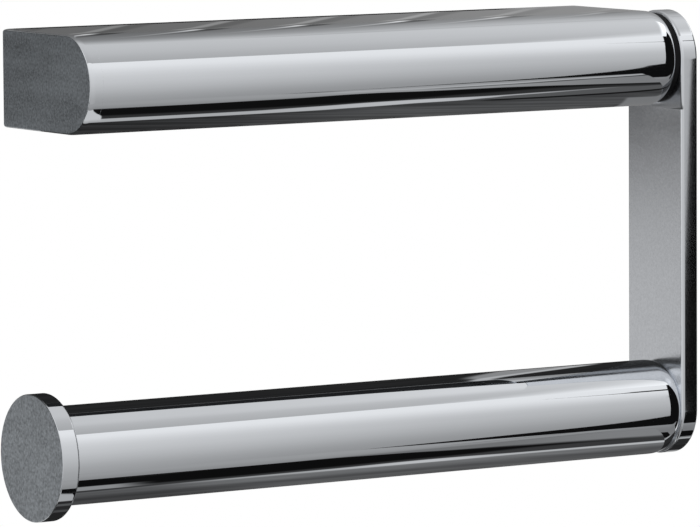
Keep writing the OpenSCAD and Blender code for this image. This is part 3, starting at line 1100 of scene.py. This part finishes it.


# What the camera sees in a bar leaves it as a ray in the plane across the bar: at an angle
# up from straight ahead, from the point where the bar's normal lies halfway between that
# angle and the camera's own. A card that is close to the bar meets each ray once, so it is
# painted by the ray's angle and by the place x that the ray left, in millimetres: a painted
# reflection, laid out as the bar shows it.
def barRays(barZ, angles):
    view = math.atan2(eye.z - barZ, axisY - eye.y)
    turn = (angles + view) / 2
    return axisY - tubeRadius * np.cos(turn), barZ + tubeRadius * np.sin(turn)


# The place that a ray left is a mean of its place on the card and the camera's, weighted by
# the camera's distance and the ray's length, because x runs on evenly through a reflection
def leftPlace(x, length, barZ):
    distance = math.hypot(eye.y - axisY, eye.z - barZ)
    return (x * distance + length * eye.x) / (length + distance) / mm


# The two level cards: how far below their bar they hang, where their front edge is, and
# their rear edge as a list of (place, depth)
underSet = {
    "drop": 0.0105,
    "front": -0.052,
    "rear": [
        (-0.0735, -0.0140), (-0.0275, -0.0145), (0.0041, -0.0156), (0.0358, -0.01835),
        (0.0665, -0.0231), (0.0717, -0.0240),
    ],
    "angles": (-140, -26, 5),
}


# On a level card the ray's angle and length are read from its place y
def underTerms(shader, barZ):
    x, y, z = shader.axes()
    angles = np.radians(np.arange(*underSet["angles"]))
    startY, startZ = barRays(barZ, angles)
    length = (barZ - underSet["drop"] - startZ) / np.sin(angles)
    place = startY - length * np.cos(angles)
    order = np.argsort(place)
    angle = shader.along(y, list(zip(place[order], np.degrees(angles[order]))))
    length = shader.along(y, list(zip(place[order], length[order])))
    return leftPlace(x, length, barZ), angle


# A level card: points run from the front edge to the bent rear edge
def makeUnderCard(name, barZ, paint):
    places, depths = np.array(underSet["rear"]).T
    x = np.linspace(places[0], places[-1], 24)[:, None]
    rear = np.interp(x, places, depths)
    y = underSet["front"] + (rear - underSet["front"]) * np.linspace(0, 1, 7)[None, :]
    points = np.stack([x + 0 * y, y, np.full_like(y, barZ - underSet["drop"])], -1)
    gridCard(name, points, glow(name, paint))


# The card below the wall bar, painting on its upper face the reflection that the wall bar
# shows and on its lower face the light that the roll bar mirrors. Its curves are lists of
# (place, angle), in millimetres and degrees. The stripe and the painted light below are
# lists of (place, grey), the latter's in metres, and the left end is a list of (angle, place).
upperSet = {
    "curves": {
        "top": [
            (-72, -57.5), (-40, -55.5), (-20, -53), (-5, -50.5), (8, -52), (30, -52.5),
            (45, -55), (72, -60),
        ],
        "low": [
            (-72, -75), (-40, -76), (-12, -74), (5, -70.5), (15, -66.5), (30, -62),
            (45, -59), (72, -62),
        ],
        "stripeTop": [
            (-72, -85), (-30, -83.5), (-12, -78.5), (5, -74.5), (28, -73.5), (48, -68),
            (72, -64),
        ],
        "stripeLow": [
            (-72, -96.5), (-30, -94.5), (-12, -92), (5, -86.5), (20, -83), (28, -77.5),
            (48, -70.5), (72, -66),
        ],
        "stripe": [
            (-72, 166), (-30, 170), (5, 184), (24, 176), (40, 164), (52, 125), (62, 60),
            (72, 50),
        ],
        "line": [(20, -84), (30, -85.5), (45, -84.5), (62, -81.5), (72, -76)],
        "bay": [(-20, -40.5), (5, -38.6), (20, -37.3), (45, -35), (60, -33.5), (72, -32.5)],
        "paintedDarkLine": [(8, -47), (35, -43.5), (61, -38.5), (72, -36)],
    },
    "leftEnd": [(-92, -66.8), (-76, -67), (-70, -68), (-60, -69.3), (-50, -70)],
    "underside": [
        (-0.07, 194), (-0.03, 196), (0.002, 199), (0.034, 205), (0.05, 211), (0.07, 213),
    ],
    "fadeBack": -0.036,
    "black": 15, "fade": 32, "shelf": 84, "dark": 24, "block": 116, "end": 192,
    "ground": 34, "streak": 66, "bay": 150, "bright": 166,
}


# The dark ground of the painted reflection behind the light stripe is lighter to the right,
# with a painted light block at the right end. Its streaks are a noise over the angle plus a
# share of x, drawn out along x.
def streakedGround(shader, x, angle):
    streaks = shader.noise(
        shader.vector((angle + 0.75 * x) * 0.14, (x - 0.3 * angle) * 0.012, 0.0)
    )
    ground = upperSet["ground"] + 26 * x.rise(-55, 10) + upperSet["streak"] * (streaks - 0.42)
    ground = ground + 9 * (-angle).rise(97, 104)
    return ground.painted(x.rise(59.5, 61) * (-angle).rise(102, 108), upperSet["block"])


# The painted grey bay above the black band: a painted bright line, and a dark line beside it
def bayGrey(x, angle, paintedDarkLine):
    grey = upperSet["bay"] - 28 * x.rise(15, 65)
    grey = grey.painted((paintedDarkLine - angle).window(-4.2, -0.8, 1.2), upperSet["bright"])
    return grey - 56 * (paintedDarkLine - angle).window(-0.9, 1.4, 1.0) * x.rise(4, 20)


# Painted reflection: from above a grey bay, a black band, and a light stripe that splits at
# the right into a shelf and a dark line. From below it is a light card that fades out in
# front, the painted light that the roll bar mirrors.
def underUpperPaint(shader):
    x, angle = underTerms(shader, pivotZ)
    curve = shader.curves(x, upperSet["curves"])
    split = x.rise(22, 27)
    belowLine = curve["line"] - angle
    shelf = streakedGround(shader, x, angle)
    shelf = shelf.painted(split * belowLine.rise(0.8, -0.8), upperSet["shelf"])
    shelf = shelf.painted(split * belowLine.window(0.0, 5.0, 1.6), upperSet["dark"])
    grey = upperSet["black"] + upperSet["fade"] * (curve["low"] - angle).rise(-3, 4)
    grey = grey.painted((curve["stripeTop"] - angle).rise(-1.5, 1.5), curve["stripe"])
    grey = grey.painted((curve["stripeLow"] - angle).rise(-1.4, 1.4), shelf)
    leftEnd = (shader.along(angle, upperSet["leftEnd"]) - x).rise(-0.25, 0.25)
    grey = grey.painted(leftEnd * angle.rise(-94, -84), upperSet["end"])
    belowTop = curve["top"] - angle
    grey = grey.painted(belowTop.rise(1.0, -1.0), bayGrey(x, angle, curve["paintedDarkLine"]))
    bay = (curve["bay"] - angle).rise(-0.5, 0.5) * x.rise(-22, -8)
    above = shader.add("ShaderNodeNewGeometry", output="Backfacing")
    placeX, placeY, placeZ = shader.axes()
    # Seen from below: the painted light that the roll bar mirrors, brighter to the right
    underside = shader.along(placeX, upperSet["underside"])
    seenBelow = placeY.rise(underSet["front"], upperSet["fadeBack"])
    cover = seenBelow.painted(above, belowTop.rise(-0.8, 0.8).larger(bay))
    return underside.painted(above, grey), cover


# The card below the roll bar, painting the reflection that the roll bar shows below it, with
# its curves in the same way. Its ground is a list of (angle downwards, grey).
lowerSet = {
    "curves": {
        "top": [
            (-74, -54), (-58, -56.5), (-40, -54.5), (-20, -53), (-8, -54), (10, -58),
            (30, -62.5), (45, -66), (60, -69.5), (72, -72),
        ],
        "over": [
            (-74, -54), (-58, -56.5), (-40, -54.5), (-20, -53), (-8, -52), (20, -50),
            (72, -48),
        ],
        "low": [
            (-74, -73), (-55, -79), (-30, -79), (0, -76), (20, -74), (35, -70), (72, -71),
        ],
        "stripeTop": [
            (-74, -90), (-50, -87), (-40, -86), (-10, -84), (10, -81.5), (30, -84),
            (72, -87),
        ],
        "stripeLow": [(-74, -91), (-40, -90.5), (10, -91.5), (40, -91), (72, -94.5)],
        "stripe": [
            (-74, 80), (-50, 108), (-40, 145), (-20, 162), (8, 188), (30, 176), (72, 184),
        ],
    },
    "ground": [(88, 118), (96, 106), (102, 104), (110, 86), (118, 76), (128, 82)],
    "black": 13, "fade": 36, "fadeCloud": 12, "patch": 138, "bay": 112,
}


# Painted reflection: a grey bay with a dark line, then black with a light patch at the left
# end, a light stripe, and grey that fades behind it
def underLowerPaint(shader):
    x, angle = underTerms(shader, rollZ)
    curve = shader.curves(x, lowerSet["curves"])
    cloudy = shader.noise(
        shader.vector((angle + 0.4 * x) * 0.10, (x - 0.2 * angle) * 0.03, 0.0)
    )
    ground = shader.along(-angle, lowerSet["ground"]) - 20 * x.rise(-20, -60)
    ground = ground + 34 * (cloudy - 0.45)
    fade = lowerSet["fade"] + lowerSet["fadeCloud"] * cloudy
    grey = lowerSet["black"] + fade * (curve["low"] - angle).rise(-2.5, 4)
    patch = x.rise(-54, -66) * angle.window(-84.5, -72.5, 2.5)
    grey = grey.painted(patch, lowerSet["patch"])
    grey = grey.painted((curve["stripeTop"] - angle).rise(-1.6, 1.6), curve["stripe"])
    grey = grey.painted((curve["stripeLow"] - angle).rise(-1.6, 1.6), ground)
    paintedDarkLine = (angle + 49 - 0.08 * x).window(-1.0, 1.0, 1.2)
    bay = lowerSet["bay"] + 14 * x.rise(20, 60) - 34 * paintedDarkLine
    soft = 1 + 4 * x.rise(0, 50)
    grey = grey.painted(((angle - curve["top"]) / soft).rise(-1.0, 1.0), bay)
    above = shader.add("ShaderNodeNewGeometry", output="Backfacing")
    return grey, above * (curve["over"] - angle).rise(-0.8, 0.8)


# The upright screen behind the wall bar's top, painting the reflection that the bar's top
# shows. Its greys and its lines' strength are lists by the ray's angle. The rays are taken
# to start a little behind the bar's axis.
screenSet = {
    "depth": 0.012,
    "heights": (0.0105, 0.17),
    "reach": (-0.32, 0.32),
    "startBack": 0.003,
    "startDrop": 0.0003,
    "left": [
        (103, 188), (110, 168), (116, 146), (124, 127), (132, 120), (140, 112), (156, 103),
        (176, 96),
    ],
    "right": [
        (103, 200), (110, 196), (116, 189), (124, 180), (132, 166), (140, 152), (156, 140),
        (176, 132),
    ],
    "strength": [
        (124, 0.0), (136, 0.2), (150, 0.6), (160, 1.0), (168, 0.8), (173, 0.45), (178, 0.3),
    ],
    "lineStep": 24.5,
    "lineShift": 41.5,
    "bendBelow": 172,
    "bend": 0.0095,
    "leanAbove": 171,
    "lean": 4.5,
    "light": 88,
    "shadow": 42,
    "shadowLag": 1.1,
    "seam": 14,
}


# On the upright screen the ray's angle follows from its height above the bar's top
def screenTerms(shader):
    x, y, z = shader.axes()
    depth = screenSet["depth"] - axisY + screenSet["startBack"]
    height = z - tubeRadius + screenSet["startDrop"]
    angle = 180 - (height / depth).arctangent() * (180 / math.pi)
    return leftPlace(x, (height * height + depth * depth) ** 0.5, pivotZ), angle


# The screen's painted reflection is dim at the top. Painted light lines with painted shadows
# beside them stand a fixed step apart: they bend to the left by the square of the angle
# below one angle, and lean to the right in proportion to it above another. A thin painted
# dark line crosses the foot.
def screenPaint(shader):
    look = screenSet
    x, angle = screenTerms(shader)
    left, right = (shader.along(angle, look[side]) for side in ("left", "right"))
    base = left + (right - left) * x.rise(-75, 65)
    bend = look["bend"] * (look["bendBelow"] - angle) * (look["bendBelow"] - angle)
    lean = look["lean"] * (angle - look["leanAbove"]).larger(0.0)
    phase = (x + bend - lean + look["lineShift"]) * (2 * math.pi / look["lineStep"])
    light = look["light"] * phase.cosine().rise(0.80, 1.0)
    shadow = look["shadow"] * (phase - look["shadowLag"]).cosine().rise(0.45, 1.0)
    strength = shader.along(angle, look["strength"]) * (1 - 0.75 * x.rise(18, 50))
    seam = (angle - 108 - 0.12 * x).window(-1.2, 1.2, 1.4)
    return base + strength * (light - shadow) - look["seam"] * seam


def makeStudio():
    across = (-studio["side"], studio["side"])
    depths = (studio["front"], studio["rear"])
    height = (studio["floor"], studio["top"])
    makePanel()
    flatCard("sheet", sheetPaint, across, studio["front"], (studio["floor"], panelSet["foot"]))
    makeRoof()
    flatCard("cloth", floorPaint, across, depths, studio["floor"])
    flatCard("rear_wall", rearPaint, across, studio["rear"], height)
    makeSides(height)
    reach, depth, heights = (screenSet[key] for key in ("reach", "depth", "heights"))
    flatCard("screen", screenPaint, reach, depth, heights)
    makeUnderCard("reflection_card_upper", pivotZ, underUpperPaint)
    makeUnderCard("reflection_card_lower", rollZ, underLowerPaint)


makeStudio()
print("studio cards hung")

# The room: a pale floor that fades into the white ground, one soft lamp, and a world
# that is white where it is seen and mirrored and plain where it only lights
roomSet = {
    "floorZ": -0.93,
    "floorReach": 3.0,
    "fade": (0.35, 0.95),
    "fill": 0.62,
    "keyPower": 9.0,
    "keySize": 0.9,
    "keyPlace": (-0.7, -0.9, 0.95),
    "keyAim": (0, 0, -0.04),
}


def makeWorld(settings):
    world = bpy.data.worlds.new("white_room")
    bpy.context.scene.world = world
    world.use_nodes = True
    world.cycles.sampling_method = "NONE"
    shader = Shader(world.node_tree)
    seen, mirrored, through = (
        shader.add("ShaderNodeLightPath", output=kind)
        for kind in ("Is Camera Ray", "Is Glossy Ray", "Is Transmission Ray")
    )
    bright = shader.maths("ADD", seen + mirrored, through, clamp=True)
    strength = settings["fill"] + (1 - settings["fill"]) * bright
    shader.output(
        shader.add("ShaderNodeBackground", {}, {"Color": (1, 1, 1, 1), "Strength": strength}),
        "ShaderNodeOutputWorld",
    )


def makeLamp(settings):
    data = bpy.data.lights.new("soft_key", "AREA")
    data.shape = "DISK"
    data.size = settings["keySize"]
    data.energy = settings["keyPower"]
    lamp = bpy.data.objects.new("soft_key", data)
    bpy.context.scene.collection.objects.link(lamp)
    lamp.location = settings["keyPlace"]
    toObject = Vector(settings["keyAim"]) - lamp.location
    lamp.rotation_euler = toObject.to_track_quat("-Z", "Y").to_euler()
    lamp.visible_glossy = False


# The floor turns clear with its distance from the middle, and where it is seen from below
def makeFloor(settings):
    material, shader = newMaterial("floor_pale")
    x, y, z = shader.axes()
    reach = settings["floorReach"]
    start, end = (reach * share for share in settings["fade"])
    edge = ((x * x + y * y) ** 0.5).rise(start, end)
    under = shader.add("ShaderNodeNewGeometry", output="Backfacing")
    matt = shader.add("ShaderNodeBsdfDiffuse", {}, {"Color": (0.9, 0.9, 0.9, 1)})
    clear = shader.add("ShaderNodeBsdfTransparent")
    shader.output(
        shader.add("ShaderNodeMixShader", {}, {0: edge.larger(under), 1: matt, 2: clear})
    )
    x, y = np.meshgrid(*[np.linspace(-reach, reach, 5)] * 2)
    gridMesh("floor", np.stack([x, y, np.full_like(x, settings["floorZ"])], -1), material)


makeWorld(roomSet)
makeFloor(roomSet)
makeLamp(roomSet)
bpy.context.scene.view_settings.view_transform = "Standard"
print("room lit")
